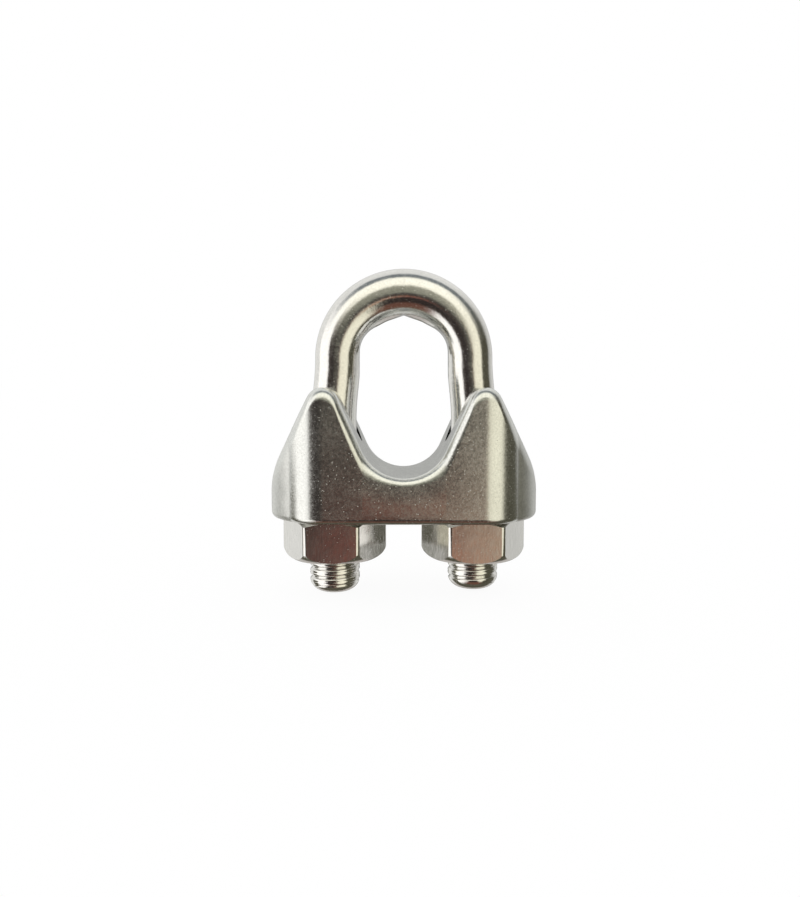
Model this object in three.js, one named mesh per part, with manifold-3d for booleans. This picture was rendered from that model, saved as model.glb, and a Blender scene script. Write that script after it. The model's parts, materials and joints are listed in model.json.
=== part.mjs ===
// Wire rope clip, size M4: a U-bolt, a saddle and two hexagon nuts.
//
// Millimetres, +Z up. The origin is the centre of the saddle's flat underside,
// X runs from leg to leg and Y runs along the rope. The nuts bear on the
// underside and hang below it, and the U-bolt stands up through the saddle.

import * as THREE from 'three';
import { mergeGeometries, mergeVertices } from 'three/addons/utils/BufferGeometryUtils.js';
import Module from 'manifold-3d';

const wasm = await Module();
wasm.setup();

// ---- Driving dimensions -------------------------------------------------

// U-bolt
const ROD_DIAMETER = 3.45;
const LEG_SPACING = 10.72; // leg axis to leg axis, where the nuts sit
const LEG_LEAN = 0.32; // each leg leans in by this much to meet the bend
const CROWN_TOP = 18.8; // outside of the bend
const LEAN_DROP = 4.5; // the legs lean in to the bend over this height
const LEFT_TIP = -5.9; // the two legs are cut to slightly different lengths
const RIGHT_TIP = -5.65;

// Rope seat pressed into the inside of the bend: two flats and two corners
const SEAT_DEPTH = 0.26; // how deep the ridge between the two flats is pressed
const SEAT_SLOPE = THREE.MathUtils.degToRad(23);
const SEAT_CORNER = 2; // radius between a flat and a leg
const SEAT_SIDE_DEPTH = 0.085; // how deep each leg is pressed at its inner face
const CROWN_SWELL = 0.22; // how far the rod swells inward on the bend

// Thread, metric M4 coarse
const THREAD_DIAMETER = 3.84;
const PITCH = 0.7;
const CREST_WIDTH = 0.34; // broad, because the thread is rolled only part of its full depth
const THREAD_DEPTH = 0.22; // crest to root
const FLANK_ANGLE = THREE.MathUtils.degToRad(30);
const TIP_FLAT_RADIUS = 0.75; // the flat that a leg ends in
const TIP_ROUND = 1; // height of the rounding above that flat
const TIGHTENING_TRAVEL = 5.6; // eight turns of the nuts
const THREAD_SPARE = 0.2; // thread left above a nut that is screwed right up
const ROOT_CLEARANCE = 0.1; // the leg's root to the nut's crest
const THREAD_RADIAL_CLEARANCE = 0.08;
const THREAD_FLANK_CLEARANCE = 0.06; // along the axis, on each flank

// Saddle
const SADDLE_LENGTH = 20.6;
const SADDLE_WIDTH = 10;
const BOSS_REACH = 1.4; // a boss stands this far out of the plate's end
const PLATE_CORNER = 3.1;
const BOSS_INSET = 0.4; // a boss is narrower than the plate by this on each side
const HORN_HEIGHT = 9.85;
const HORN_RADIUS = 1.25;
const HORN_OFFSET = 0.5; // a horn's crest stands this far outside its leg's axis
const VALLEY_HEIGHT = 3.3;
const VALLEY_RADIUS = 3.4;
const SHOULDER_RADIUS = 7;
const SHOULDER_HEIGHT = 1.4; // where an upright end starts to round into its slope
const BASE_ROUND = 0.4;
const LEG_CLEARANCE = 0.235; // thread to hole, on the radius

// Nuts
const NUT_ACROSS_FLATS = 7;
const NUT_HEIGHT = 3.2;
const NUT_FACE_INSET = 0.2; // the flat ring's edge stands in from each hexagon flat
const NUT_CHAMFER_ANGLE = THREE.MathUtils.degToRad(30);
const NUT_COUNTERSINK = 0.23; // the countersink stands out of the leg's thread by this
const NUT_SEAT_GAP = 0.02;

// How far a cutting tool runs past what it cuts
const CUT_MARGIN = 0.4;

// Facets
const ROD_SIDES = 20;
const BEND_STEPS = 44;
const THREAD_STEPS = 18; // in each turn
const TURNED_SIDES = 36;
const ARC_SEGMENTS = 8;
const CORNER_SEGMENTS = 5;
const TIP_SEGMENTS = 4;

// ---- Derived dimensions -------------------------------------------------

const rodRadius = ROD_DIAMETER / 2;
const legX = LEG_SPACING / 2;
const crownX = legX - LEG_LEAN;
const bendHeight = CROWN_TOP - crownX - rodRadius; // centre of the bend
const leanStart = bendHeight - LEAN_DROP;
const threadRadius = THREAD_DIAMETER / 2;
const threadTop = TIGHTENING_TRAVEL + THREAD_SPARE;
const seatPeak = CROWN_TOP - ROD_DIAMETER - CROWN_SWELL + SEAT_DEPTH;
const seatHalfWidth = crownX - rodRadius + SEAT_SIDE_DEPTH;
const holeRadius = threadRadius + LEG_CLEARANCE;
const plateLength = SADDLE_LENGTH - 2 * BOSS_REACH;
const bossRadius = SADDLE_WIDTH / 2 - BOSS_INSET;
const hornX = legX + HORN_OFFSET;

// ---- Solids -------------------------------------------------------------

// A closed three.js geometry as a solid that can be cut and joined.
function toSolid(geometry) {
  const bare = geometry.clone();
  bare.deleteAttribute('normal');
  bare.deleteAttribute('uv');
  const merged = mergeVertices(bare, 1e-4);
  return new wasm.Manifold(new wasm.Mesh({
    numProp: 3,
    vertProperties: new Float32Array(merged.attributes.position.array),
    triVerts: new Uint32Array(merged.index.array),
  }));
}

function toGeometry(solid) {
  const mesh = solid.getMesh();
  const geometry = new THREE.BufferGeometry();
  geometry.setAttribute('position', new THREE.BufferAttribute(mesh.vertProperties, 3));
  geometry.setIndex(new THREE.BufferAttribute(mesh.triVerts, 1));
  geometry.computeVertexNormals();
  return geometry;
}

// A shape drawn in X and Z, given a thickness along Y and centred on Y = 0.
function slabAlongY(shape, thickness) {
  const slab = new THREE.ExtrudeGeometry(shape, {
    depth: thickness,
    bevelEnabled: false,
    curveSegments: ARC_SEGMENTS,
  });
  slab.rotateX(Math.PI / 2);
  slab.translate(0, thickness / 2, 0);
  return toSolid(slab);
}

// A profile of [radius, height] points, from the bottom up, turned about Z.
function turned(profile) {
  const points = profile.map(([radius, height]) => new THREE.Vector2(radius, height));
  const lathe = new THREE.LatheGeometry(points, TURNED_SIDES);
  lathe.rotateX(Math.PI / 2);
  return toSolid(lathe);
}

function upright(radius, from, to) {
  return turned([[0, from], [radius, from], [radius, to], [0, to]]);
}

// ---- Thread -------------------------------------------------------------

// A right-hand screw thread about Z that covers the heights from one to the
// other, with a turn or two to spare beyond each. Its profile of roots and
// crests is turned into rings, and each ring climbs by one pitch on its way
// round, so that it ends where the ring one pitch higher begins.
function screwThread(rootRadius, crestRadius, crest, from, to) {
  const flank = (crestRadius - rootRadius) * Math.tan(FLANK_ANGLE);
  const corners = [
    [rootRadius, crest / 2 + flank],
    [rootRadius, PITCH - crest / 2 - flank],
    [crestRadius, PITCH - crest / 2],
    [crestRadius, PITCH + crest / 2],
  ];
  const firstTurn = Math.floor(from / PITCH) - 2;
  const lastTurn = Math.ceil(to / PITCH) + 1;
  const lastRing = (lastTurn - firstTurn) * corners.length;
  // A ring's radius and height once it has gone a share of the way round.
  const ringPoint = (ring, share) => {
    const [radius, height] = corners[ring % corners.length];
    const turn = firstTurn + Math.floor(ring / corners.length);
    return new THREE.Vector2(radius, height + PITCH * (turn + share));
  };
  const ringPoints = (low, high, share) => {
    const count = high - low + 1;
    return Array.from({ length: count }, (_, i) => ringPoint(low + i, share));
  };
  const bottom = new THREE.Vector2(0, firstTurn * PITCH);
  const top = new THREE.Vector2(0, (lastTurn + 1) * PITCH);

  const profile = [bottom, ...ringPoints(0, lastRing, 0), top];
  const turns = new THREE.LatheGeometry(profile, THREAD_STEPS);
  const position = turns.attributes.position;
  for (let i = 0; i < position.count; i += 1) {
    const ring = (i % profile.length) - 1;
    const share = Math.floor(i / profile.length) / THREAD_STEPS;
    if (ring >= 0 && ring <= lastRing) {
      position.setY(i, ringPoint(ring, share).y);
    }
  }
  const thread = mergeGeometries([
    triangles(turns),
    stepFace([bottom, ...ringPoints(0, corners.length, 0)], 1),
    stepFace([top, ...ringPoints(lastRing - corners.length, lastRing, 1)], -1),
  ]);
  thread.rotateX(Math.PI / 2);
  return toSolid(thread);
}

// The flat step in which the lowest turn starts (side 1) or the highest turn
// ends (side -1), in the plane where a lathe's turn starts and ends.
function stepFace(outline, side) {
  const corners = outline.map((point) => new THREE.Vector2(side * point.x, point.y));
  const face = new THREE.ShapeGeometry(new THREE.Shape(corners));
  face.rotateY((-side * Math.PI) / 2);
  return triangles(face);
}

function triangles(geometry) {
  const loose = geometry.toNonIndexed();
  loose.deleteAttribute('normal');
  loose.deleteAttribute('uv');
  return loose;
}

// ---- U-bolt -------------------------------------------------------------

// The rod's centre line above the threads, from the left leg over the bend to
// the right leg.
class RodLine extends THREE.Curve {
  constructor(foot) {
    super();
    this.legLength = bendHeight - foot;
    this.bendLength = Math.PI * crownX;
  }

  getPoint(t, target = new THREE.Vector3()) {
    const travelled = t * (2 * this.legLength + this.bendLength);
    const alongBend = travelled - this.legLength;
    if (alongBend >= 0 && alongBend <= this.bendLength) {
      const angle = Math.PI - alongBend / crownX;
      return target.set(crownX * Math.cos(angle), 0, bendHeight + crownX * Math.sin(angle));
    }
    const side = alongBend < 0 ? -1 : 1;
    const belowBend = side < 0 ? -alongBend : alongBend - this.bendLength;
    const height = bendHeight - belowBend;
    const lean = THREE.MathUtils.smoothstep(height, leanStart, bendHeight);
    return target.set(side * THREE.MathUtils.lerp(legX, crownX, lean), 0, height);
  }
}

// The rod thickens towards the inside of the bend, most at the crown.
function swellInward(geometry) {
  const position = geometry.attributes.position;
  for (let i = 0; i < position.count; i += 1) {
    const x = position.getX(i);
    const rise = position.getZ(i) - bendHeight;
    const radius = Math.hypot(x, rise);
    const inwardShare = (crownX - radius) / rodRadius;
    if (rise > 0 && inwardShare > 0) {
      const pull = (CROWN_SWELL * inwardShare * (rise / radius)) / radius;
      position.setX(i, x * (1 - pull));
      position.setZ(i, bendHeight + rise * (1 - pull));
    }
  }
}

function bentRod() {
  const section = new THREE.Shape();
  section.absarc(0, 0, rodRadius, 0, 2 * Math.PI, false);
  const rod = new THREE.ExtrudeGeometry(section, {
    extrudePath: new RodLine(threadTop - THREAD_SPARE),
    steps: BEND_STEPS,
    bevelEnabled: false,
    curveSegments: ROD_SIDES / 2,
  });
  swellInward(rod);
  return toSolid(rod);
}

// The press tool that leaves the rope seat: it fills the space between the
// legs up to two flats that meet in a ridge.
function seatTool() {
  const cornerX = seatHalfWidth - SEAT_CORNER;
  const cornerHeight = seatPeak
    - (SEAT_CORNER + cornerX * Math.sin(SEAT_SLOPE)) / Math.cos(SEAT_SLOPE);
  const outline = new THREE.Shape();
  outline.moveTo(-seatHalfWidth, threadTop);
  outline.lineTo(seatHalfWidth, threadTop);
  outline.absarc(cornerX, cornerHeight, SEAT_CORNER, 0, Math.PI / 2 - SEAT_SLOPE, false);
  outline.lineTo(0, seatPeak);
  outline.absarc(-cornerX, cornerHeight, SEAT_CORNER, Math.PI / 2 + SEAT_SLOPE, Math.PI, false);
  return slabAlongY(outline, ROD_DIAMETER + 2 * CUT_MARGIN);
}

function threadedLeg(tip) {
  const outside = threadRadius + CUT_MARGIN;
  const rounding = Array.from({ length: TIP_SEGMENTS + 1 }, (_, i) => {
    const angle = (Math.PI / 2) * (i / TIP_SEGMENTS);
    const reach = (threadRadius - TIP_FLAT_RADIUS) * Math.sin(angle);
    return [TIP_FLAT_RADIUS + reach, tip + TIP_ROUND * (1 - Math.cos(angle))];
  });
  const envelope = turned([
    [0, tip],
    ...rounding,
    [outside, tip + TIP_ROUND + CUT_MARGIN],
    [outside, threadTop],
    [0, threadTop],
  ]);
  const rootRadius = threadRadius - THREAD_DEPTH;
  const thread = screwThread(rootRadius, threadRadius, CREST_WIDTH, tip, threadTop);
  return thread.intersect(envelope);
}

function uBolt() {
  return bentRod()
    .subtract(seatTool())
    .add(threadedLeg(LEFT_TIP).translate(-legX, 0, 0))
    .add(threadedLeg(RIGHT_TIP).translate(legX, 0, 0));
}

// ---- Saddle -------------------------------------------------------------

// The two horns and the valley between them, as straight flanks and the arcs
// that they touch. Angles are those of the outward normals.
function saddleFace() {
  const hornHeight = HORN_HEIGHT - HORN_RADIUS;
  const shoulderX = SADDLE_LENGTH / 2 - SHOULDER_RADIUS;
  const valleyHeight = VALLEY_HEIGHT + VALLEY_RADIUS;
  const toShoulder = new THREE.Vector2(hornX - shoulderX, hornHeight - SHOULDER_HEIGHT);
  const toValley = new THREE.Vector2(hornX, hornHeight - valleyHeight);
  const outerFlank = toShoulder.angle()
    - Math.acos((SHOULDER_RADIUS - HORN_RADIUS) / toShoulder.length());
  const innerFlank = Math.atan2(toValley.y, toValley.x)
    + Math.acos(-(VALLEY_RADIUS + HORN_RADIUS) / toValley.length());

  const face = new THREE.Shape();
  face.moveTo(-SADDLE_LENGTH / 2, 0);
  face.lineTo(SADDLE_LENGTH / 2, 0);
  face.absarc(shoulderX, SHOULDER_HEIGHT, SHOULDER_RADIUS, 0, outerFlank, false);
  face.absarc(hornX, hornHeight, HORN_RADIUS, outerFlank, innerFlank, false);
  face.absarc(0, valleyHeight, VALLEY_RADIUS, innerFlank - Math.PI, -innerFlank, true);
  face.absarc(-hornX, hornHeight, HORN_RADIUS, Math.PI - innerFlank, Math.PI - outerFlank, false);
  face.absarc(-shoulderX, SHOULDER_HEIGHT, SHOULDER_RADIUS, Math.PI - outerFlank, Math.PI, false);
  return slabAlongY(face, SADDLE_WIDTH + 2 * CUT_MARGIN);
}

// An upright block with round corners, seen from above, and a rounded edge
// where it meets the underside.
function roundedBlock(length, width, cornerRadius) {
  const radius = cornerRadius - BASE_ROUND;
  const x = length / 2 - cornerRadius;
  const y = width / 2 - cornerRadius;
  const plan = new THREE.Shape();
  plan.absarc(x, -y, radius, -Math.PI / 2, 0, false);
  plan.absarc(x, y, radius, 0, Math.PI / 2, false);
  plan.absarc(-x, y, radius, Math.PI / 2, Math.PI, false);
  plan.absarc(-x, -y, radius, Math.PI, 1.5 * Math.PI, false);
  const block = new THREE.ExtrudeGeometry(plan, {
    depth: HORN_HEIGHT,
    bevelEnabled: true,
    bevelThickness: BASE_ROUND,
    bevelSize: BASE_ROUND,
    bevelSegments: 2,
    curveSegments: CORNER_SEGMENTS,
  });
  block.translate(0, 0, BASE_ROUND);
  return toSolid(block);
}

function saddle() {
  const hole = upright(holeRadius, -CUT_MARGIN, HORN_HEIGHT + CUT_MARGIN);
  const plates = roundedBlock(plateLength, SADDLE_WIDTH, PLATE_CORNER);
  const bosses = roundedBlock(SADDLE_LENGTH, 2 * bossRadius, bossRadius);
  return plates
    .add(bosses)
    .intersect(saddleFace())
    .subtract(hole.translate(-legX, 0, 0))
    .subtract(hole.translate(legX, 0, 0));
}

// ---- Nuts ---------------------------------------------------------------

// A hexagon nut about Z whose upper face is at zero, with a chamfer at both
// faces and a thread that clears the leg's own thread all round.
function nutSolid() {
  const cornerRadius = NUT_ACROSS_FLATS / 2 / Math.cos(Math.PI / 6);
  const hexagon = new THREE.Shape();
  for (let corner = 0; corner < 6; corner += 1) {
    const angle = (corner * Math.PI) / 3;
    const point = [cornerRadius * Math.cos(angle), cornerRadius * Math.sin(angle)];
    if (corner === 0) {
      hexagon.moveTo(...point);
    } else {
      hexagon.lineTo(...point);
    }
  }
  const bar = new THREE.ExtrudeGeometry(hexagon, { depth: NUT_HEIGHT, bevelEnabled: false });
  bar.translate(0, 0, -NUT_HEIGHT);

  const faceRadius = NUT_ACROSS_FLATS / 2 - NUT_FACE_INSET;
  const outside = cornerRadius + CUT_MARGIN;
  const chamferHeight = (outside - faceRadius) * Math.tan(NUT_CHAMFER_ANGLE);
  const chamfers = turned([
    [0, -NUT_HEIGHT],
    [faceRadius, -NUT_HEIGHT],
    [outside, chamferHeight - NUT_HEIGHT],
    [outside, -chamferHeight],
    [faceRadius, 0],
    [0, 0],
  ]);

  // The tap's flats are wider than the leg's crests by the flank clearance,
  // and its crests run past them by the radial clearance.
  const grooveRadius = threadRadius + THREAD_RADIAL_CLEARANCE;
  const grooveWidth = CREST_WIDTH + 2 * THREAD_FLANK_CLEARANCE
    - 2 * THREAD_RADIAL_CLEARANCE * Math.tan(FLANK_ANGLE);
  const minorRadius = threadRadius - THREAD_DEPTH + ROOT_CLEARANCE;
  const tap = screwThread(minorRadius, grooveRadius, grooveWidth, -NUT_HEIGHT, 0);
  const sinkRadius = threadRadius + NUT_COUNTERSINK;
  const countersink = turned([
    [0, -sinkRadius],
    [sinkRadius, 0],
    [0, sinkRadius],
  ]);
  return toSolid(bar)
    .intersect(chamfers)
    .subtract(tap)
    .subtract(countersink)
    .subtract(countersink.translate(0, 0, -NUT_HEIGHT));
}

// ---- Assembly -----------------------------------------------------------

const polishedSteel = { color: 0xc9c8c0, roughness: 0.16, metalness: 1 };
const satinSteel = { color: 0xa9a8a2, roughness: 0.3, metalness: 1 };
const brightSteel = { color: 0xd2d1cb, roughness: 0.2, metalness: 1 };

function piece(name, solid, finish) {
  const mesh = new THREE.Mesh(toGeometry(solid), new THREE.MeshStandardMaterial(finish));
  mesh.name = name;
  return mesh;
}

const clip = new THREE.Group();
clip.add(piece('u_bolt', uBolt(), polishedSteel));
clip.add(piece('saddle', saddle(), satinSteel));

const nut = nutSolid();
for (const [name, side] of [['nut_left', -1], ['nut_right', 1]]) {
  const mesh = piece(name, nut, brightSteel);
  mesh.position.set(side * legX, 0, -NUT_SEAT_GAP);
  clip.add(mesh);
}

export default clip;
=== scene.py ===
# %% [markdown]
# # A small wire rope clip
#
# The clip is four pieces of stainless steel: a U-bolt, a cast saddle that the
# U-bolt's legs pass through, and two M4 nuts that draw the U-bolt down on the
# rope. The frame holds each piece at its true place, so every new piece takes
# its sizes from the frame and only adds the shape and the finish.

# %% Load the frame
import json
import math

import bmesh
import bpy
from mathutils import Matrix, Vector


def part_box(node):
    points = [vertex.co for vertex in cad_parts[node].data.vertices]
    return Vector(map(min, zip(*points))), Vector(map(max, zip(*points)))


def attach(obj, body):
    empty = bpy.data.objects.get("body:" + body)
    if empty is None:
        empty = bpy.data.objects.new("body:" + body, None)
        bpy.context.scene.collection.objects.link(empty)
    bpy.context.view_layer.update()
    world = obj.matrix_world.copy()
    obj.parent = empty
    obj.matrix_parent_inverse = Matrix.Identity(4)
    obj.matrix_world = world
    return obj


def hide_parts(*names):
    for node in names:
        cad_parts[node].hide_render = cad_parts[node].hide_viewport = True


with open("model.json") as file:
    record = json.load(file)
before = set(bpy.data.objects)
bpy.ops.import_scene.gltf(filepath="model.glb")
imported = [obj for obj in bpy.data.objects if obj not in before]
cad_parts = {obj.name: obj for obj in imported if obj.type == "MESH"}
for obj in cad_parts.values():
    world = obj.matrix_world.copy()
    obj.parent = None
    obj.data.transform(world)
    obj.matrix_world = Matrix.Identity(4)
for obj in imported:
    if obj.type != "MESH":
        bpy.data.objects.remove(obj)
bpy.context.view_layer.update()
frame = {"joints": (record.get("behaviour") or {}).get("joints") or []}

# %% [markdown]
# ## Working in millimetres
#
# Bevels and booleans in Blender use fixed small tolerances that suit objects
# of about a metre. A 25 mm clip would be close to them, so each piece is
# modelled with one unit to the millimetre and shrunk to metres at the end.

# %% Sizes read from the frame, in millimetres
MM = 0.001
TOUCHING = 1e-4  # closer than this, in millimetres, counts as the same place
FINE = 1e-5  # the same for threads and finished pieces, which have short edges
joints = {joint["name"]: joint for joint in frame["joints"]}


def box_mm(node):
    """The two opposite corners of a piece's box in the frame."""
    low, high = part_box(node)
    return low / MM, high / MM


bolt_low, bolt_high = box_mm("u_bolt")
saddle_high = box_mm("saddle")[1]
nut_low, nut_high = box_mm("nut_right")
leg_x = joints["nut_right_spin"]["pos_m"][0] / MM
thread_radius = bolt_high.y
print("legs at +-%.2f mm, thread %.2f mm across" % (leg_x, 2 * thread_radius))


# %% Helpers for modelling as by hand
def select_only(piece):
    bpy.ops.object.select_all(action="DESELECT")
    piece.select_set(True)
    bpy.context.view_layer.objects.active = piece


def added(name):
    """Names the primitive that was just added and takes its place into its mesh."""
    piece = bpy.context.object
    select_only(piece)
    piece.name = name
    piece.data.name = name
    bpy.ops.object.transform_apply(location=True, rotation=True, scale=True)
    return piece


def edit(piece):
    """Opens a piece in edit mode with nothing selected."""
    select_only(piece)
    bpy.ops.object.mode_set(mode="EDIT")
    bpy.ops.mesh.select_all(action="DESELECT")


def close_edit():
    bpy.ops.object.mode_set(mode="OBJECT")


def pick(piece, kind, test):
    """Selects the faces, edges or vertices that pass a test. Returns how many."""
    bpy.ops.mesh.select_mode(type=kind)
    mesh = bmesh.from_edit_mesh(piece.data)
    elements = {"VERT": mesh.verts, "EDGE": mesh.edges, "FACE": mesh.faces}[kind]
    for element in elements:
        element.select_set(bool(test(element)))
    mesh.select_flush_mode()
    bmesh.update_edit_mesh(piece.data)
    return sum(element.select for element in elements)


def middle(edge):
    return (edge.verts[0].co + edge.verts[1].co) / 2


def combine(piece, tool, operation):
    """Cuts, joins or intersects a piece with a tool body, and removes the tool."""
    select_only(piece)
    modifier = piece.modifiers.new(operation.lower(), "BOOLEAN")
    modifier.object = tool
    modifier.operation = operation
    modifier.solver = "EXACT"
    bpy.ops.object.modifier_apply(modifier=modifier.name)
    bpy.data.objects.remove(tool, do_unlink=True)


def tidy_mesh(piece, gap=TOUCHING):
    """Merges points that touch and turns every face outwards."""
    edit(piece)
    bpy.ops.mesh.select_all(action="SELECT")
    bpy.ops.mesh.remove_doubles(threshold=gap)
    bpy.ops.mesh.normals_make_consistent(inside=False)
    close_edit()


def start_point(name, place):
    """A new piece that is one selected vertex, open in edit mode: a plane cut down."""
    bpy.ops.mesh.primitive_plane_add(size=2)
    piece = added(name)
    edit(piece)
    pick(piece, "VERT", lambda v: v.index > 0)
    bpy.ops.mesh.delete(type="VERT")
    bpy.ops.mesh.select_all(action="SELECT")
    corner = Vector((-1, -1, 0))
    bpy.ops.transform.translate(value=place - corner)
    return piece


ARC_STEP = 3  # degrees between the points of a traced arc


def trace(name, start, moves):
    """Draws a closed outline in the XZ plane and fills it.

    A move is a point (x, z) to draw a straight line to, or (centre x,
    centre z, angle in degrees) to spin round, anticlockwise when positive.
    """
    place = Vector((start[0], 0, start[1]))
    outline = start_point(name, place)
    for move in moves:
        if len(move) == 2:
            target = Vector((move[0], 0, move[1]))
            bpy.ops.mesh.extrude_region_move(
                TRANSFORM_OT_translate={"value": target - place}
            )
            place = target
        else:
            centre = Vector((move[0], 0, move[1]))
            angle = math.radians(move[2])
            bpy.ops.mesh.spin(
                steps=round(abs(move[2]) / ARC_STEP), angle=angle, center=centre, axis=(0, 1, 0),
            )
            arm = place - centre
            turned_to = math.atan2(arm.z, arm.x) + angle
            place = centre + arm.length * Vector((math.cos(turned_to), 0, math.sin(turned_to)))
    bpy.ops.mesh.select_all(action="SELECT")
    bpy.ops.mesh.remove_doubles(threshold=TOUCHING)
    bpy.ops.mesh.select_all(action="SELECT")
    bpy.ops.mesh.edge_face_add()
    close_edit()
    return outline


def thicken(outline, half_depth):
    """Extrudes a filled outline along Y into a slab centred on Y = 0."""
    edit(outline)
    bpy.ops.mesh.select_all(action="SELECT")
    bpy.ops.transform.translate(value=(0, -half_depth, 0))
    bpy.ops.mesh.extrude_region_move(
        TRANSFORM_OT_translate={"value": (0, 2 * half_depth, 0)}
    )
    close_edit()
    tidy_mesh(outline)
    return outline


# %% [markdown]
# ## The saddle
#
# The real saddle is a casting: a thick plate with two horns, a round boss at
# each end, a hole down through each horn, and a valley for the rope. From the
# front its outline is straight flanks joined by arcs, and from above it is a
# plate with round corners and two bosses. Both can be laid out as a ribbon:
# one edge across the saddle is extruded from station to station, and at each
# station it takes its height from the front outline and its width from the
# plan. Every quad then runs straight across, so a wide bevel along the rim
# stays even, which it wouldn't on the loose facets that a boolean leaves.

# %% Plan and front outline of the saddle
PLATE_LENGTH = 17.8
PLATE_CORNER = 3.1
BOSS_RADIUS = 4.6
HORN_RADIUS = 1.25
HORN_OFFSET = 0.5
VALLEY_HEIGHT = 3.34
VALLEY_RADIUS = 3.3
SHOULDER_RADIUS = 7
SHOULDER_HEIGHT = 1.4
END_TRIM = 0.12  # taken off each end by tumbling

saddle_end = saddle_high.x - END_TRIM
horn_x = leg_x + HORN_OFFSET
horn_z = saddle_high.z - HORN_RADIUS
valley_z = VALLEY_HEIGHT + VALLEY_RADIUS
shoulder_x = saddle_end - SHOULDER_RADIUS
corner_x = PLATE_LENGTH / 2 - PLATE_CORNER
boss_x = saddle_end - BOSS_RADIUS

# The flanks touch the arcs. Their angles are those of the outward normals.
to_shoulder = Vector((horn_x - shoulder_x, horn_z - SHOULDER_HEIGHT))
to_valley = Vector((horn_x, horn_z - valley_z))
outer_flank = math.atan2(to_shoulder.y, to_shoulder.x) - math.acos(
    (SHOULDER_RADIUS - HORN_RADIUS) / to_shoulder.length
)
inner_flank = math.atan2(to_valley.y, to_valley.x) + math.acos(
    -(VALLEY_RADIUS + HORN_RADIUS) / to_valley.length
)


def half_width(x):
    """Half the saddle's width at x, from the plan: the wider of plate and boss."""
    plate = saddle_high.y
    if x > corner_x:
        reach = min(x - corner_x, PLATE_CORNER)
        plate += math.sqrt(PLATE_CORNER**2 - reach**2) - PLATE_CORNER
    boss = math.sqrt(max(0, BOSS_RADIUS**2 - (x - boss_x) ** 2))
    return max(plate, boss) if x < corner_x + PLATE_CORNER else boss


def top_height(x):
    """Height of the top at x, from the front outline."""
    if x < -VALLEY_RADIUS * math.cos(inner_flank):
        return valley_z - math.sqrt(VALLEY_RADIUS**2 - x * x)
    if x < horn_x + HORN_RADIUS * math.cos(inner_flank):
        return on_flank(x, inner_flank)
    if x < horn_x + HORN_RADIUS * math.cos(outer_flank):
        return horn_z + math.sqrt(HORN_RADIUS**2 - (x - horn_x) ** 2)
    if x < shoulder_x + SHOULDER_RADIUS * math.cos(outer_flank):
        return on_flank(x, outer_flank)
    reach = min(x - shoulder_x, SHOULDER_RADIUS)
    return SHOULDER_HEIGHT + math.sqrt(SHOULDER_RADIUS**2 - reach**2)


def on_flank(x, angle):
    """Height at x on the straight flank that touches the horn's arc at an angle."""
    touch_x = horn_x + HORN_RADIUS * math.cos(angle)
    touch_z = horn_z + HORN_RADIUS * math.sin(angle)
    return touch_z - (x - touch_x) / math.tan(angle)


def steps(low, high, count):
    """Equal steps from low towards high, which is left out."""
    return [low + (high - low) * i / count for i in range(count)]


# The boss stands out of the plate from the first x where its arc is the wider.
SEARCH_STEP = 0.001
crossing = next(
    x for x in (i * SEARCH_STEP for i in range(round(saddle_end / SEARCH_STEP)))
    if x > corner_x
    and math.sqrt(max(0, BOSS_RADIUS**2 - (x - boss_x) ** 2))
    > saddle_high.y - PLATE_CORNER
    + math.sqrt(max(0, PLATE_CORNER**2 - (x - corner_x) ** 2))
)
valley_turn = math.asin(-math.cos(inner_flank))
plate_turn = math.asin((crossing - corner_x) / PLATE_CORNER)
boss_turn = math.asin((crossing - boss_x) / BOSS_RADIUS)
horn_start = horn_x + HORN_RADIUS * math.cos(inner_flank)

# Stations are closest where the outline or the plan turns most.
half_stations = (
    [VALLEY_RADIUS * math.sin(a) for a in steps(0, valley_turn, 22)]
    + steps(VALLEY_RADIUS * math.sin(valley_turn), horn_start, 6)
    + steps(horn_start, corner_x, 12)
    + [corner_x + PLATE_CORNER * math.sin(a) for a in steps(0, plate_turn, 24)]
    + [boss_x + BOSS_RADIUS * math.sin(a) for a in steps(boss_turn, math.pi / 2, 30)]
    + [saddle_end]
)
stations = [-x for x in reversed(half_stations[1:])] + half_stations
print("%d stations, plate and boss cross at x = %.2f mm" % (len(stations), crossing))

# %% Lay the ribbon from end to end
TIP_WIDTH = 0.05  # half the width of the ribbon at its very ends


def ribbon_half_width(x):
    return max(half_width(abs(x)), TIP_WIDTH)


bpy.ops.mesh.primitive_plane_add(size=2)
saddle = added("saddle_casting")
edit(saddle)
pick(saddle, "VERT", lambda v: v.co.x > 0)
bpy.ops.mesh.delete(type="VERT")
bpy.ops.mesh.select_all(action="SELECT")
bpy.ops.transform.translate(value=(1 - saddle_end, 0, top_height(saddle_end)))
bpy.ops.transform.resize(value=(1, TIP_WIDTH, 1))
for before, here in zip(stations, stations[1:]):
    climb = top_height(abs(here)) - top_height(abs(before))
    bpy.ops.mesh.extrude_region_move(
        TRANSFORM_OT_translate={"value": (here - before, 0, climb)}
    )
    bpy.ops.transform.resize(
        value=(1, ribbon_half_width(here) / ribbon_half_width(before), 1)
    )

# %% Drop the walls to the underside and close it
bpy.ops.mesh.select_mode(type="EDGE")
bpy.ops.mesh.select_all(action="SELECT")
bpy.ops.mesh.region_to_loop()
bpy.ops.mesh.extrude_region_move(TRANSFORM_OT_translate={"value": (0, 0, -saddle_high.z)})
bpy.ops.transform.resize(value=(1, 1, 0), center_override=(0, 0, 0))
bpy.ops.mesh.edge_face_add()
bpy.ops.mesh.select_all(action="SELECT")
bpy.ops.mesh.normals_make_consistent(inside=False)
close_edit()
print("saddle blank:", len(saddle.data.polygons), "faces")

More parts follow.
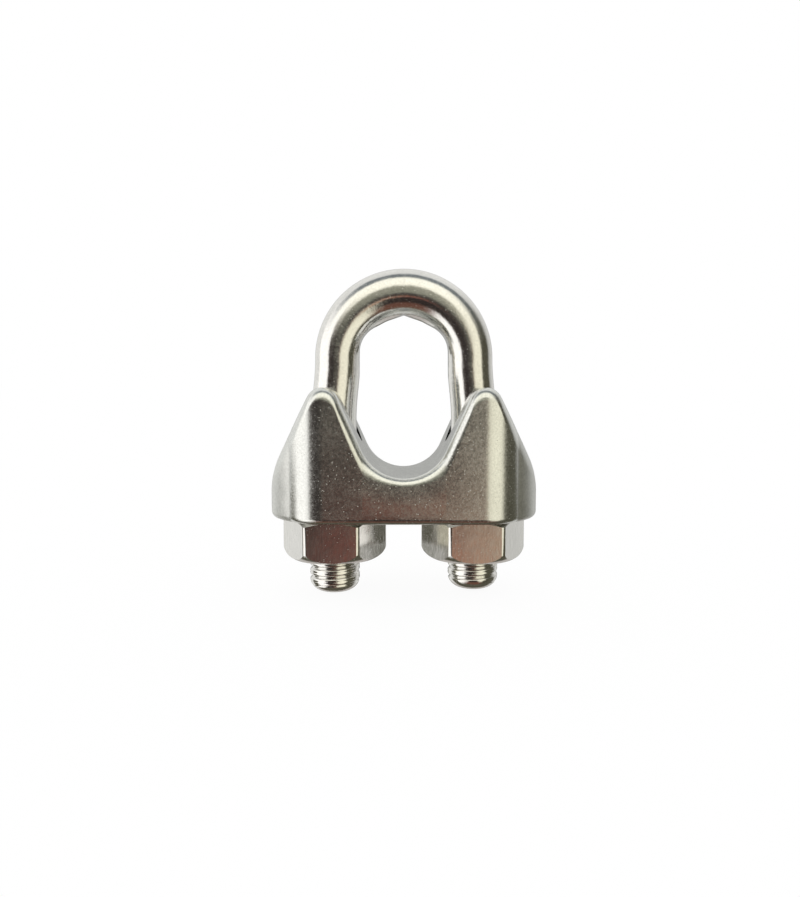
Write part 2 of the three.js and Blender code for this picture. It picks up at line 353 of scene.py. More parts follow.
# %% Round the rim and the underside's edge
RIM_ROUND = 0.85
RIM_FADE = 3.2  # height above the shoulders over which the rim's rounding grows
BASE_ROUND = 0.45
UPRIGHT = 1e-3  # a wall's normal rises no more than this
LYING = 1e-2  # the top's normal always rises more than this

edit(saddle)
rim = pick(
    saddle,
    "EDGE",
    lambda e: len(e.link_faces) == 2
    and min(abs(f.normal.z) for f in e.link_faces) < UPRIGHT
    and max(abs(f.normal.z) for f in e.link_faces) > LYING
    and abs(middle(e).y) > TIP_WIDTH,
)
print("rim edges", rim)
close_edit()


# The rim fades out where the shoulder runs into the upright end.
def rim_weight(edge):
    """How much of the rim's rounding an edge gets, from 0 to 1."""
    height = min(saddle.data.vertices[i].co.z for i in edge.vertices)
    return min(1, max(0, (height - SHOULDER_HEIGHT) / RIM_FADE))


weights = saddle.data.attributes.new("bevel_weight_edge", "FLOAT", "EDGE")
for edge in saddle.data.edges:
    weights.data[edge.index].value = rim_weight(edge) if edge.select else 0
select_only(saddle)
bevel = saddle.modifiers.new("rim", "BEVEL")
bevel.limit_method = "WEIGHT"
bevel.width = RIM_ROUND
bevel.segments = 8
bevel.use_clamp_overlap = False
bpy.ops.object.modifier_apply(modifier="rim")

edit(saddle)
print("base edges", pick(
    saddle,
    "EDGE",
    lambda e: max(v.co.z for v in e.verts) < TOUCHING,
))
bpy.ops.mesh.bevel(offset=BASE_ROUND, segments=6, profile=0.5, affect="EDGES", clamp_overlap=False)
close_edit()
print("saddle rounded:", len(saddle.data.polygons), "faces")

# %% Drill the leg holes
HOLE_RADIUS = 2.15
HOLE_SIDES = 96
DRILL_LENGTH = 30

for side in (-1, 1):
    bpy.ops.mesh.primitive_cylinder_add(
        vertices=HOLE_SIDES, radius=HOLE_RADIUS, depth=DRILL_LENGTH, location=(side * leg_x, 0, 0)
    )
    combine(saddle, added("drill"), "DIFFERENCE")
print("saddle:", len(saddle.data.polygons), "faces")

# %% [markdown]
# ## The U-bolt
#
# The real U-bolt is a drawn rod, bent round a former and threaded at both
# ends by rolling, which leaves the thread a little wider than the rod. Here
# the bend is a circle spun half way round, and its end rings are extruded
# down into legs that lean out to their holes. The rope's seat was pressed
# into the inside of the bend, and a tool body of that shape cuts it here.

# %% Bend and legs
ROD_RADIUS = 1.725
CROWN_X = 5.04
LEAN_DROP = 4.5
LEAN_STEPS = 12
ROD_FOOT = 5.6
RUNOUT = 1.0
RUNOUT_TAPER = 0.975
ROD_SIDES = 64
BEND_STEPS = 96
bend_z = bolt_high.z - CROWN_X - ROD_RADIUS

bpy.ops.mesh.primitive_circle_add(
    vertices=ROD_SIDES, radius=ROD_RADIUS, location=(CROWN_X, 0, bend_z)
)
rod = added("u_bolt_rod")


def leg_down(side):
    """Extrudes the selected ring down one leg and tapers its foot into the thread."""
    spread = leg_x - CROWN_X
    for step in range(1, LEAN_STEPS + 1):
        t = step / LEAN_STEPS
        before = (step - 1) / LEAN_STEPS
        out = t * t * (3 - 2 * t) - before * before * (3 - 2 * before)
        bpy.ops.mesh.extrude_region_move(
            TRANSFORM_OT_translate={
                "value": (side * spread * out, 0, -LEAN_DROP / LEAN_STEPS)
            }
        )
    down = bend_z - LEAN_DROP - ROD_FOOT
    bpy.ops.mesh.extrude_region_move(TRANSFORM_OT_translate={"value": (0, 0, -down)})
    bpy.ops.mesh.extrude_region_move(TRANSFORM_OT_translate={"value": (0, 0, -RUNOUT)})
    bpy.ops.transform.resize(value=(RUNOUT_TAPER, RUNOUT_TAPER, 1))
    bpy.ops.mesh.edge_face_add()


edit(rod)
bpy.ops.mesh.select_all(action="SELECT")
bpy.ops.mesh.spin(steps=BEND_STEPS, angle=math.pi, center=(0, 0, bend_z), axis=(0, 1, 0))
leg_down(-1)
pick(
    rod,
    "EDGE",
    lambda e: all(abs(v.co.z - bend_z) < TOUCHING and v.co.x > 0 for v in e.verts),
)
leg_down(1)
bpy.ops.mesh.select_all(action="SELECT")
bpy.ops.mesh.normals_make_consistent(inside=False)
close_edit()
print("rod:", len(rod.data.polygons), "faces")

# %% Bending swells the rod towards the inside of the bend
SWELL = 0.22

swell = rod.vertex_groups.new(name="inside of the bend")
for vert in rod.data.vertices:
    rise = vert.co.z - bend_z
    distance = math.hypot(vert.co.x, rise)
    inward = (CROWN_X - distance) / ROD_RADIUS
    if rise > 0 and inward > 0:
        swell.add([vert.index], inward * rise / distance, "REPLACE")
select_only(rod)
displace = rod.modifiers.new("swell", "DISPLACE")
displace.vertex_group = swell.name
displace.strength = SWELL
displace.mid_level = 0
bpy.ops.object.modifier_apply(modifier="swell")
rod.vertex_groups.clear()

# %% Press the rope's seat
SEAT_PEAK = 15.39
SEAT_SLOPE = 23
SEAT_CORNER = 2
SEAT_HALF_WIDTH = 3.4
SEAT_TOOL_REACH = 3  # each way along the rope, past the rod

slope = math.radians(SEAT_SLOPE)
seat_x = SEAT_HALF_WIDTH - SEAT_CORNER
seat_z = SEAT_PEAK - (SEAT_CORNER + seat_x * math.sin(slope)) / math.cos(slope)
seat = trace(
    "seat_tool",
    (SEAT_HALF_WIDTH, ROD_FOOT),
    [
        (SEAT_HALF_WIDTH, seat_z),
        (seat_x, seat_z, 90 - SEAT_SLOPE),
        (0, SEAT_PEAK),
        (-seat_x - SEAT_CORNER * math.sin(slope), seat_z + SEAT_CORNER * math.cos(slope)),
        (-seat_x, seat_z, 90 - SEAT_SLOPE),
        (-SEAT_HALF_WIDTH, ROD_FOOT),
    ],
)
combine(rod, thicken(seat, SEAT_TOOL_REACH), "DIFFERENCE")
print("rod with its seat:", len(rod.data.polygons), "faces")

# %% [markdown]
# ## Threads
#
# A thread is one ridge that climbs a pitch with each turn. One pitch of its
# profile goes once round in the Screw modifier for each turn. Rolling leaves
# the ridge with soft corners and a faint hollow along its crest, where the
# metal closed up. The nut's thread is the same kind of ridge, a little
# fatter, used as a tap.

# %% One thread, for the legs and for the tap
PITCH = 0.7
THREAD_STEPS = 60


def thread(name, half_profile, low, high):
    """A right-hand thread about Z. The half profile runs from crest to root."""
    falling = [(r, -z) for r, z in reversed(half_profile)]
    rising = [(r, z) for r, z in half_profile]
    points = falling + rising[:-1] + [(falling[0][0], falling[0][1] + PITCH)]
    first = math.floor(low / PITCH) - 1
    turns = math.ceil(high / PITCH) + 1 - first
    ridge = start_point(name, Vector((0, -points[0][0], first * PITCH + points[0][1])))
    for (r0, z0), (r1, z1) in zip(points, points[1:]):
        bpy.ops.mesh.extrude_region_move(
            TRANSFORM_OT_translate={"value": (0, r0 - r1, z1 - z0)}
        )
    close_edit()
    screw = ridge.modifiers.new("turns", "SCREW")
    screw.screw_offset = PITCH
    screw.iterations = turns
    screw.steps = THREAD_STEPS
    screw.render_steps = THREAD_STEPS
    screw.use_merge_vertices = True
    screw.merge_threshold = TOUCHING
    bpy.ops.object.modifier_apply(modifier="turns")
    edit(ridge)
    for height, side in ((low, -1), (high, 1)):
        bpy.ops.mesh.select_all(action="SELECT")
        bpy.ops.mesh.bisect(
            plane_co=(0, 0, height),
            plane_no=(0, 0, side),
            use_fill=True,
            clear_outer=True,
            threshold=FINE,
        )
    close_edit()
    tidy_mesh(ridge, FINE)
    return ridge


def turned(name, profile, sides):
    """A round body about Z from (radius, height) points, both ends on the axis."""
    body = trace(name, profile[0], profile[1:])
    edit(body)
    pick(body, "FACE", lambda f: True)
    bpy.ops.mesh.delete(type="ONLY_FACE")
    pick(body, "EDGE", lambda e: all(abs(v.co.x) < FINE for v in e.verts))
    bpy.ops.mesh.delete(type="EDGE")
    bpy.ops.mesh.select_all(action="SELECT")
    bpy.ops.mesh.spin(steps=sides, angle=2 * math.pi, center=(0, 0, 0), axis=(0, 0, 1))
    close_edit()
    tidy_mesh(body, FINE)
    return body


# %% Roll a thread on each leg
ROOT_RADIUS = 1.765
ROLLED_PROFILE = [  # (radius, height) from the middle of the crest to the root
    (thread_radius - 0.014, 0.0),
    (thread_radius - 0.014, 0.035),
    (thread_radius, 0.075),
    (thread_radius, 0.125),
    (thread_radius - 0.012, 0.175),
    (thread_radius - 0.035, 0.22),
    (thread_radius - 0.07, 0.25),
    (ROOT_RADIUS + 0.035, 0.28),
    (ROOT_RADIUS + 0.007, 0.305),
    (ROOT_RADIUS, PITCH / 2),
]
TIP_FLAT = 0.75
TIP_ROUND = 1.0
TIP_STEPS = 14
SHORT_LEG = 0.25  # the right leg was cut this much shorter
THREAD_OVERLAP = 0.15  # how far the threaded stretch runs up into the rod
PAST = 0.2  # how far a ridge runs past the body that trims it
CLEAR = 0.1  # how far that body stands clear of the crests
thread_top = ROD_FOOT + THREAD_OVERLAP

for side, tip in ((-1, bolt_low.z), (1, bolt_low.z + SHORT_LEG)):
    leg = thread("leg_thread", ROLLED_PROFILE, tip - PAST, thread_top + PAST)
    dome = []
    for step in range(TIP_STEPS + 1):
        angle = step / TIP_STEPS * math.pi / 2
        dome.append((
            TIP_FLAT + (thread_radius - TIP_FLAT) * math.sin(angle),
            tip + TIP_ROUND * (1 - math.cos(angle)),
        ))
    chamfer = turned(
        "leg_chamfer",
        [(0, tip)]
        + dome
        + [
            (thread_radius + CLEAR, tip + TIP_ROUND + 3 * CLEAR),
            (thread_radius + CLEAR, ROD_FOOT - RUNOUT),
            (ROD_RADIUS - CLEAR / 10, thread_top),
            (0, thread_top),
        ],
        ROD_SIDES,
    )
    combine(leg, chamfer, "INTERSECT")
    edit(leg)
    bpy.ops.mesh.select_all(action="SELECT")
    bpy.ops.transform.translate(value=(side * leg_x, 0, 0))
    close_edit()
    combine(rod, leg, "UNION")
print("u-bolt:", len(rod.data.polygons), "faces")

# %% [markdown]
# ## The nuts
#
# A real nut of this size is pressed from wire: its corners are a little
# round, the top is chamfered by a cone, the lower edge is worn to a curve,
# and the bore is countersunk and then tapped. Each step here is one of those.

# %% Press a nut, chamfer it, tap it
nut_height = nut_high.z - nut_low.z
nut_top = nut_high.z
nut_corner = (nut_high.x - nut_low.x) / 2
NUT_FACE_RADIUS = 3.3
EDGE_START = (3.25, 0.0)  # radius and height of the worn lower edge, as a curve
EDGE_PULL = (3.93, 0.3)
EDGE_END = (4.03, 0.95)
EDGE_STEPS = 9
NUT_CORNER_BEVEL = 0.2
CORNER_SEGMENTS = 5
CHAMFER_ANGLE = math.radians(30)
DRUM_RADIUS = nut_corner + 0.4
DRUM_STEP = 0.3  # height in which the drum widens again above the worn edge
DRUM_SIDES = 120
COUNTERSINK_RADIUS = 2.15
SINK_SIDES = 96
TAP_PAST = 0.5  # how far the tap runs past each face
TAP_PROFILE = [  # (radius, height) from the middle of the groove to the bore
    (2.0, 0.0),
    (2.0, 0.2),
    (1.985, 0.222),
    (1.8, 0.32),
    (1.8, PITCH / 2),
]

bpy.ops.mesh.primitive_cylinder_add(
    vertices=6, radius=nut_corner, depth=nut_height, location=(0, 0, -nut_height / 2),
    rotation=(0, 0, math.radians(30)),
)
nut = added("nut_blank")
edit(nut)
pick(nut, "EDGE", lambda e: abs(e.verts[0].co.z - e.verts[1].co.z) > nut_height / 2)
bpy.ops.mesh.bevel(offset=NUT_CORNER_BEVEL, segments=CORNER_SEGMENTS, profile=0.5, affect="EDGES")
close_edit()
print("nut corner at", [round(max(v.co[i] for v in nut.data.vertices), 3) for i in (0, 1)])

drop = (DRUM_RADIUS - NUT_FACE_RADIUS) * math.tan(CHAMFER_ANGLE)
worn_edge = []
for step in range(EDGE_STEPS + 1):
    t = step / EDGE_STEPS
    radius, rise = (
        (1 - t) ** 2 * start + 2 * t * (1 - t) * pull + t**2 * end
        for start, pull, end in zip(EDGE_START, EDGE_PULL, EDGE_END)
    )
    worn_edge.append((radius, rise - nut_height))
drum = turned(
    "chamfer_drum",
    [(0, -nut_height)]
    + worn_edge
    + [
        (DRUM_RADIUS, EDGE_END[1] + DRUM_STEP - nut_height),
        (DRUM_RADIUS, -drop),
        (NUT_FACE_RADIUS, 0),
        (0, 0),
    ],
    DRUM_SIDES,
)
combine(nut, drum, "INTERSECT")
for face in (0, -nut_height):
    sink = turned(
        "countersink",
        [
            (0, face - COUNTERSINK_RADIUS),
            (COUNTERSINK_RADIUS, face),
            (0, face + COUNTERSINK_RADIUS),
        ],
        SINK_SIDES,
    )
    combine(nut, sink, "DIFFERENCE")
tap = thread("tap", TAP_PROFILE, -nut_height - TAP_PAST, TAP_PAST)
combine(nut, tap, "DIFFERENCE")
print("nut:", len(nut.data.polygons), "faces")

# %% Place the two nuts and bring everything to metres
nuts = {}
for name, side in (("nut_left", -1), ("nut_right", 1)):
    piece = nut.copy()
    piece.data = nut.data.copy()
    piece.name = name + "_steel"
    piece.data.name = piece.name
    bpy.context.scene.collection.objects.link(piece)
    select_only(piece)
    piece.location = (side * leg_x, 0, nut_top)
    bpy.ops.object.transform_apply(location=True, rotation=True, scale=True)
    nuts[name] = piece
bpy.data.objects.remove(nut, do_unlink=True)

SMOOTH_BELOW = math.radians(24)
pieces = {"saddle": saddle, "u_bolt": rod, **nuts}
for name, piece in pieces.items():
    tidy_mesh(piece, FINE)
    select_only(piece)
    piece.scale = (MM, MM, MM)
    bpy.ops.object.transform_apply(location=True, rotation=True, scale=True)
    bpy.ops.object.shade_smooth_by_angle(angle=SMOOTH_BELOW)
    weighted = piece.modifiers.new("weighted", "WEIGHTED_NORMAL")
    weighted.keep_sharp = True
    bpy.ops.object.modifier_apply(modifier="weighted")
    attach(piece, name)
    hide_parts(name)
    loose = sum(len(e.vertices) for e in piece.data.edges if e.is_loose)
    print(name, len(piece.data.polygons), "faces, loose", loose)

# %% [markdown]
# ## Finishes
#
# All four pieces are stainless steel, but they were made in different ways.
# The rod is drawn and tumbled bright, the casting keeps fine pits and a few
# scratches under its polish and is duller at its ends, and the nuts are
# pressed from wire and have the cleanest faces. The marks are node groups,
# so each finish mixes the same few marks in its own amounts.

# %% Helpers for nodes
def add_node(tree, kind, settings=None, **inputs):
    """Adds a node, sets its properties, and sets or links its inputs.

    An input is given by its name with _ for a space, or as _ and its number.
    """
    node = tree.nodes.new(kind)
    for key, value in (settings or {}).items():
        setattr(node, key, value)
    for key, value in inputs.items():
        socket = node.inputs[int(key[1:])] if key[0] == "_" else node.inputs[key.replace("_", " ")]
        if isinstance(value, bpy.types.NodeSocket):
            tree.links.new(value, socket)
        else:
            socket.default_value = value
    return node


def math_node(tree, operation, *values):
    """One step of arithmetic on numbers or sockets."""
    node = add_node(tree, "ShaderNodeMath", {"operation": operation})
    for socket, value in zip(node.inputs, values):
        if isinstance(value, bpy.types.NodeSocket):
            tree.links.new(value, socket)
        else:
            socket.default_value = value
    return node.outputs[0]


def between(tree, value, low, high, to_low=0.0, to_high=1.0):
    """Maps a value smoothly from one range to another and holds it there."""
    node = add_node(
        tree, "ShaderNodeMapRange", {"interpolation_type": "SMOOTHSTEP"}, Value=value
    )
    for key, number in (("From Min", low), ("From Max", high), ("To Min", to_low), ("To Max", to_high)):
        node.inputs[key].default_value = number
    return node.outputs[0]


def between_straight(tree, value, low, high):
    """Where a value lies between two limits, from 0 to 1."""
    node = add_node(tree, "ShaderNodeMapRange", None, Value=value)
    for key, number in (("From Min", low), ("From Max", high)):
        node.inputs[key].default_value = number
    return node.outputs[0]


def mix_colour(tree, share, one, other):
    """One colour where share is 0, the other where it is 1."""
    node = add_node(tree, "ShaderNodeMix", {"data_type": "RGBA"}, _0=share)
    for socket, value in ((node.inputs[6], one), (node.inputs[7], other)):
        if isinstance(value, bpy.types.NodeSocket):
            tree.links.new(value, socket)
        else:
            socket.default_value = value
    return node.outputs[2]


def new_group(name, inputs, outputs):
    """An empty node group with named inputs (with their defaults) and outputs."""
    group = bpy.data.node_groups.new(name, "ShaderNodeTree")
    for label, kind, value in inputs:
        socket = group.interface.new_socket(label, in_out="INPUT", socket_type=kind)
        if value is not None:
            socket.default_value = value
    for label, kind in outputs:
        group.interface.new_socket(label, in_out="OUTPUT", socket_type=kind)
    return group, group.nodes.new("NodeGroupInput").outputs, group.nodes.new("NodeGroupOutput").inputs


VECTOR, FLOAT = "NodeSocketVector", "NodeSocketFloat"


# %% Pits left by casting and tumbling
def make_pits():
    group, given, result = new_group(
        "pits",
        [("Vector", VECTOR, None), ("Per mm", FLOAT, 4.0), ("Share", FLOAT, 0.3), ("Patchiness", FLOAT, 0.5)],
        [("Mask", FLOAT), ("Height", FLOAT)],
    )
    cells = add_node(
        group, "ShaderNodeTexVoronoi", {"feature": "F1"},
        Vector=given["Vector"], Scale=given["Per mm"], Randomness=1.0,
    )
    patches = add_node(
        group, "ShaderNodeTexNoise", None, Vector=given["Vector"], Scale=0.45, Detail=3.0,
    )
    lone = add_node(group, "ShaderNodeSeparateColor", None, Color=cells.outputs["Color"])
    patchy = between(group, patches.outputs[0], 0.38, 0.66, 0.0, 1.0)
    blend = add_node(group, "ShaderNodeMix", {"data_type": "FLOAT"}, _0=given["Patchiness"])
    blend.inputs[2].default_value = 1.0
    group.links.new(patchy, blend.inputs[3])
    chance = math_node(group, "MULTIPLY", given["Share"], blend.outputs[0])
    chosen = math_node(group, "LESS_THAN", lone.outputs[0], chance)
    size = math_node(group, "MULTIPLY_ADD", lone.outputs[1], 0.22, 0.12)
    edge = math_node(group, "DIVIDE", cells.outputs["Distance"], size)
    bowl = between(group, edge, 0.55, 1.0, 1.0, 0.0)
    mask = math_node(group, "MULTIPLY", bowl, chosen)
    group.links.new(mask, result["Mask"])
    group.links.new(math_node(group, "MULTIPLY", mask, -1.0), result["Height"])
    return group


# %% Fine scratches, in straight strokes of all directions
def make_scratches():
    group, given, result = new_group(
        "scratches",
        [("Vector", VECTOR, None), ("Per mm", FLOAT, 1.2), ("Share", FLOAT, 0.25), ("Width", FLOAT, 0.03)],
        [("Mask", FLOAT), ("Height", FLOAT)],
    )
    total = None
    for turn in ((0.2, 0.5, 0.3), (1.1, -0.6, 1.4), (-0.7, 1.3, 2.3)):
        turned_by = add_node(
            group, "ShaderNodeVectorRotate", {"rotation_type": "EULER_XYZ"}, Vector=given["Vector"],
        )
        turned_by.inputs["Rotation"].default_value = turn
        stretched = add_node(
            group, "ShaderNodeVectorMath", {"operation": "MULTIPLY"},
            _0=turned_by.outputs[0], _1=(0.12, 1.0, 1.0),
        )
        cells = add_node(
            group, "ShaderNodeTexVoronoi", {"feature": "F1"},
            Vector=stretched.outputs[0], Scale=given["Per mm"], Randomness=1.0,
        )
        lone = add_node(group, "ShaderNodeSeparateColor", None, Color=cells.outputs["Color"])
        chosen = math_node(group, "LESS_THAN", lone.outputs[0], given["Share"])
        near = math_node(group, "LESS_THAN", cells.outputs["Distance"], given["Width"])
        stroke = math_node(group, "MULTIPLY", near, chosen)
        total = stroke if total is None else math_node(group, "MAXIMUM", total, stroke)
    group.links.new(total, result["Mask"])
    group.links.new(math_node(group, "MULTIPLY", total, -1.0), result["Height"])
    return group


# %% Slow unevenness of a polished surface
def make_ripple():
    group, given, result = new_group(
        "ripple",
        [("Vector", VECTOR, None), ("Per mm", FLOAT, 0.8), ("Stretch", VECTOR, (1.0, 1.0, 1.0))],
        [("Tone", FLOAT), ("Height", FLOAT)],
    )
    stretched = add_node(
        group, "ShaderNodeVectorMath", {"operation": "MULTIPLY"}, _0=given["Vector"], _1=given["Stretch"],
    )
    noise = add_node(
        group, "ShaderNodeTexNoise", None,
        Vector=stretched.outputs[0], Scale=given["Per mm"], Detail=3.0, Roughness=0.55,
    )
    group.links.new(between(group, noise.outputs[0], 0.3, 0.7), result["Tone"])
    group.links.new(noise.outputs[0], result["Height"])
    return group


# %% The grain that shows when steel is seen close up
def make_grain():
    group, given, result = new_group(
        "grain",
        [("Vector", VECTOR, None), ("Per mm", FLOAT, 7.0), ("Stretch", VECTOR, (1.0, 1.0, 1.0))],
        [("Tone", FLOAT), ("Height", FLOAT)],
    )
    stretched = add_node(
        group, "ShaderNodeVectorMath", {"operation": "MULTIPLY"}, _0=given["Vector"], _1=given["Stretch"],
    )
    noise = add_node(
        group, "ShaderNodeTexNoise", None,
        Vector=stretched.outputs[0], Scale=given["Per mm"], Detail=2.0, Roughness=0.6,
    )
    group.links.new(between(group, noise.outputs[0], 0.32, 0.68), result["Tone"])
    group.links.new(noise.outputs[0], result["Height"])
    return group


pits_group = make_pits()
scratches_group = make_scratches()
ripple_group = make_ripple()
grain_group = make_grain()
print("node groups:", [g.name for g in bpy.data.node_groups])


# %% Stainless steel in its three finishes
GRAIN_SHARE = 0.65  # how much of the unevenness is fine grain, and not slow ripple
WORN_ROUGHNESS = 0.18  # what a pit or a scratch adds


def steel(name, tones, roughness, pits, scratches, ripple, grain, dull=None):
    """A steel finish.

    tones: the base colour at the two ends of its unevenness
    roughness: the same for the roughness
    pits, scratches: (per mm, share that is there, depth in mm)
    ripple: (per mm, height in mm)
    grain: (per mm, height in mm, stretch along Z, where under 1 draws it out)
    dull: (from x, to x, roughness it gains) for ends that are less polished
    """
    material = bpy.data.materials.new(name)
    material.use_nodes = True
    tree = material.node_tree
    principled = tree.nodes["Principled BSDF"]
    place = add_node(tree, "ShaderNodeTexCoord").outputs["Object"]
    in_mm = add_node(
        tree, "ShaderNodeVectorMath", {"operation": "SCALE"}, _0=place, Scale=1 / MM,
    ).outputs[0]

    def use(group, **inputs):
        return add_node(tree, "ShaderNodeGroup", {"node_tree": group}, Vector=in_mm, **inputs).outputs

    pit = use(pits_group, Per_mm=pits[0], Share=pits[1])
    scratch = use(scratches_group, Per_mm=scratches[0], Share=scratches[1])
    wave = use(ripple_group, Per_mm=ripple[0])
    speck = use(grain_group, Per_mm=grain[0], Stretch=(1.0, 1.0, grain[2]))
    worn = math_node(tree, "MAXIMUM", pit["Mask"], scratch["Mask"])
    uneven = math_node(
        tree, "ADD",
        math_node(tree, "MULTIPLY", wave["Tone"], 1 - GRAIN_SHARE),
        math_node(tree, "MULTIPLY", speck["Tone"], GRAIN_SHARE),
    )
    tone = mix_colour(tree, uneven, (*tones[0], 1), (*tones[1], 1))
    tree.links.new(tone, principled.inputs["Base Color"])
    rough = between(tree, uneven, 0, 1, roughness[0], roughness[1])
    rough = math_node(tree, "MULTIPLY_ADD", worn, WORN_ROUGHNESS, rough)
    if dull:
        x = add_node(tree, "ShaderNodeSeparateXYZ", None, Vector=in_mm).outputs["X"]
        away = math_node(tree, "ABSOLUTE", x)
        rough = math_node(tree, "ADD", rough, between(tree, away, dull[0], dull[1], 0.0, dull[2]))
    tree.links.new(rough, principled.inputs["Roughness"])
    principled.inputs["Metallic"].default_value = 1.0

    bump = None
    reliefs = (
        (wave["Height"], ripple[1]), (speck["Height"], grain[1]),
        (scratch["Height"], scratches[2]), (pit["Height"], pits[2]),
    )
    for height, depth in reliefs:
        node = add_node(tree, "ShaderNodeBump", None, Height=height, Distance=depth * MM, Strength=1.0)
        if bump:
            tree.links.new(bump, node.inputs["Normal"])
        bump = node.outputs[0]
    tree.links.new(bump, principled.inputs["Normal"])
    return material


rod_steel = steel(
    "tumbled drawn steel",
    tones=((0.76, 0.75, 0.73), (0.88, 0.87, 0.85)),
    roughness=(0.12, 0.20),
    pits=(10.0, 0.16, 0.003),
    scratches=(1.5, 0.08, 0.003),
    ripple=(1.4, 0.012),
    grain=(7.0, 0.003, 1.0),
)
cast_steel = steel(
    "polished cast steel",
    tones=((0.673, 0.68, 0.66), (0.843, 0.85, 0.83)),
    roughness=(0.19, 0.27),
    pits=(10.0, 0.16, 0.006),
    scratches=(1.2, 0.12, 0.005),
    ripple=(0.5, 0.008),
    grain=(6.5, 0.0034, 1.0),
    dull=(8.1, 8.4, 0.2),
)
nut_steel = steel(
    "pressed nut steel",
    tones=((0.74, 0.73, 0.71), (0.90, 0.89, 0.87)),
    roughness=(0.14, 0.22),
    pits=(9.0, 0.2, 0.003),
    scratches=(1.6, 0.1, 0.003),
    ripple=(0.7, 0.010),
    grain=(8.0, 0.0016, 0.2),
)
for piece, finish in (
    (rod, rod_steel), (saddle, cast_steel), (nuts["nut_left"], nut_steel), (nuts["nut_right"], nut_steel),
):
    piece.data.materials.clear()
    piece.data.materials.append(finish)

# %% [markdown]
# ## Studio
#
# Polished steel has no look of its own: it shows the room. A product like
# this is shot in a light tent with a dark opening in front, so the sky
# here is that tent, painted by direction: dark where the camera stands, a
# white side wall on the left, a cream one on the right, a bright ceiling,
# a dark floor and a grey backdrop. Each wall is a ramp of colour by the
# angle from the line of sight, and the roll round that line picks the wall.
# Only mirrored rays see the tent. The camera itself sees plain white.

# %% The light tent
REFLECTANCE = 0.82


def seen(red, green, blue):
    """What the tent must be for steel to show this colour, given as 0 to 255."""
    def linear(value):
        value /= 255
        return value / 12.92 if value <= 0.04045 else ((value + 0.055) / 1.055) ** 2.4
    return [linear(value) / REFLECTANCE for value in (red, green, blue)] + [1.0]


def ramp(tree, share, stops):
    """A ramp of seen colours, given as (position from 0 to 1, colour)."""
    node = add_node(tree, "ShaderNodeValToRGB", None, Fac=share)
    elements = node.color_ramp.elements
    elements.remove(elements[-1])
    for index, (position, tint) in enumerate(stops):
        element = elements[0] if index == 0 else elements.new(position)
        element.position = position
        element.color = seen(*tint)
    return node.outputs["Color"]


def bands(tree, angle, stops):
    """Rings round the line of sight: colours at angles from it, in degrees."""
    share = math_node(tree, "DIVIDE", angle, math.pi)
    return ramp(tree, share, [(degrees / 180, tint) for degrees, tint in stops])


def product(tree, first, *others):
    """All the given masks at once."""
    for other in others:
        first = math_node(tree, "MULTIPLY", first, other)
    return first


world = bpy.data.worlds.new("light tent")
bpy.context.scene.world = world
world.use_nodes = True
tent = world.node_tree
tent.nodes.clear()
way = add_node(tent, "ShaderNodeTexCoord").outputs["Generated"]
split = add_node(tent, "ShaderNodeSeparateXYZ", None, Vector=way).outputs
right, back, up = split["X"], split["Y"], split["Z"]
from_front = math_node(tent, "ARCCOSINE", math_node(tent, "MULTIPLY", back, -1.0))
roll = math_node(tent, "DIVIDE", math_node(tent, "ARCTAN2", right, up), math.pi)

GREY_WALL = (218, 218, 215)
BACKDROP = (160, 160, 158)
ceiling = bands(tent, from_front, [
    (0, (68, 66, 60)), (5, (92, 92, 84)), (10, (130, 130, 116)), (22, (146, 145, 130)),
    (32, (256, 253, 236)), (66, (258, 256, 242)), (76, (112, 118, 120)), (90, (112, 118, 120)),
    (100, GREY_WALL), (150, GREY_WALL), (162, BACKDROP),
])
right_wall = bands(tent, from_front, [
    (0, (66, 62, 58)), (7, (74, 68, 63)), (12, (160, 150, 134)), (18, (232, 228, 207)),
    (54, (238, 234, 213)), (62, (72, 70, 57)), (100, (74, 72, 60)), (110, (172, 172, 168)),
    (140, (205, 205, 202)), (162, BACKDROP),
])
ground = bands(tent, from_front, [
    (0, (62, 56, 52)), (6, (57, 50, 46)), (20, (46, 39, 37)), (40, (48, 41, 38)),
    (48, (98, 68, 58)), (66, (102, 72, 60)), (76, (84, 80, 70)), (110, (86, 84, 73)),
    (122, (176, 170, 166)), (150, (176, 173, 169)), (162, BACKDROP),
])
left_wall = bands(tent, from_front, [
    (0, (66, 62, 58)), (7, (60, 55, 50)), (20, (44, 39, 37)), (41, (56, 48, 43)),
    (48, (262, 260, 256)), (97, (266, 264, 260)), (103, GREY_WALL), (150, GREY_WALL),
    (162, BACKDROP),
])
turn = math_node(tent, "ABSOLUTE", roll)
sides = mix_colour(tent, between(tent, right, -0.12, 0.12), left_wall, right_wall)
colour = mix_colour(tent, between(tent, turn, 0.14, 0.44), ceiling, sides)
colour = mix_colour(tent, between(tent, turn, 0.74, 0.88), colour, ground)

# Low in front stands a warm wooden table edge, redder towards the left.
TABLE_REACH = 0.14
table = ramp(tent, between_straight(tent, right, -TABLE_REACH, TABLE_REACH), [
    (0.0, (62, 56, 52)), (0.12, (78, 58, 53)), (0.28, (142, 86, 76)), (0.5, (118, 76, 64)),
    (0.66, (140, 98, 82)), (0.8, (196, 148, 124)), (1.0, (166, 142, 118)),
])
table_shade = product(
    tent,
    between(tent, up, -0.19, -0.172, 1, 0),
    between(tent, up, -0.3, -0.26),
    between(tent, back, -0.9, -0.95),
    between(tent, turn, 0.7, 0.78),
)
colour = mix_colour(tent, table_shade, colour, table)
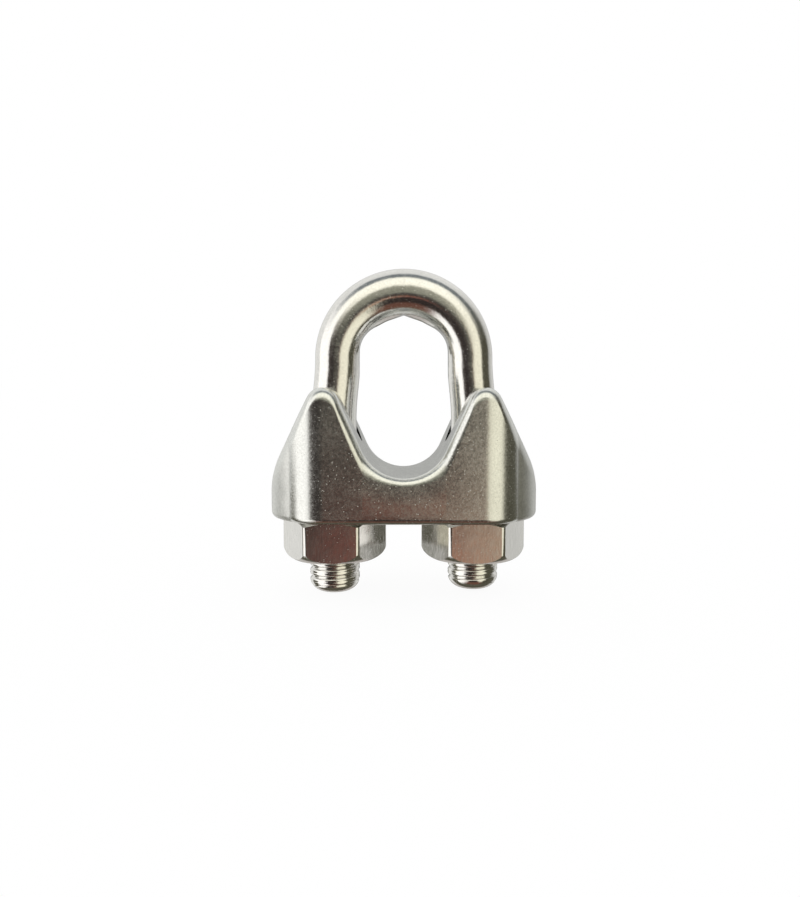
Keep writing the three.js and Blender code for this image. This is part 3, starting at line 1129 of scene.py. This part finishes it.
# Painted shade: a dark olive patch low down, beside and behind, stands in for the shade and the facing nut
# that the nuts' inner faces see, so it shows between the nuts.
beside = product(tent, between(tent, back, 0.46, 0.52, 1, 0), between(tent, back, -0.1, 0.0))
behind = between(tent, back, 0.86, 0.93)
low_down = between(tent, up, -0.13, -0.1, 1, 0)
painted_shade_between_nuts = product(tent, low_down, math_node(tent, "ADD", beside, behind))
colour = mix_colour(tent, painted_shade_between_nuts, colour, seen(80, 78, 66))
reflected = add_node(tent, "ShaderNodeBackground", None, Color=colour, Strength=1.0)
plain = add_node(tent, "ShaderNodeBackground", None, Color=(1, 1, 1, 1), Strength=1.0)
rays = add_node(tent, "ShaderNodeLightPath").outputs
mixed = add_node(
    tent, "ShaderNodeMixShader", None,
    _0=rays["Is Glossy Ray"], _1=plain.outputs[0], _2=reflected.outputs[0],
)
add_node(tent, "ShaderNodeOutputWorld", None, Surface=mixed.outputs[0])

# %% Floor
FLOOR_SIZE = 40  # metres, so that its edge is never in view
PAPER_GLOW = 0.94
PAPER_GREY = 0.06

bpy.ops.mesh.primitive_plane_add(size=FLOOR_SIZE, location=(0, 0, bolt_low.z * MM))
floor = bpy.context.object
floor.name = "floor"
floor.visible_glossy = False
paper = bpy.data.materials.new("white paper")
paper.use_nodes = True
paper_base = paper.node_tree.nodes["Principled BSDF"]
paper_base.inputs["Base Color"].default_value = (PAPER_GREY, PAPER_GREY, PAPER_GREY, 1)
paper_base.inputs["Specular IOR Level"].default_value = 0
paper_base.inputs["Emission Color"].default_value = (1, 1, 1, 1)
paper_base.inputs["Emission Strength"].default_value = PAPER_GLOW
floor.data.materials.append(paper)

# %% Camera
CAMERA_PLACE = Vector((-0.29, -59.91, 9.85))
CAMERA_TILT = 4.49  # degrees down
SENSOR = 36
LENS = 31.24

camera_data = bpy.data.cameras.new("camera")
camera = bpy.data.objects.new("camera", camera_data)
bpy.context.scene.collection.objects.link(camera)
camera.location = CAMERA_PLACE * MM
camera.rotation_euler = (math.radians(90 - CAMERA_TILT), 0, 0)
camera_data.sensor_width = SENSOR
camera_data.lens = LENS
camera_data.clip_start = 0.001
camera_data.clip_end = 100
bpy.context.scene.camera = camera
bpy.context.scene.view_settings.view_transform = "Standard"
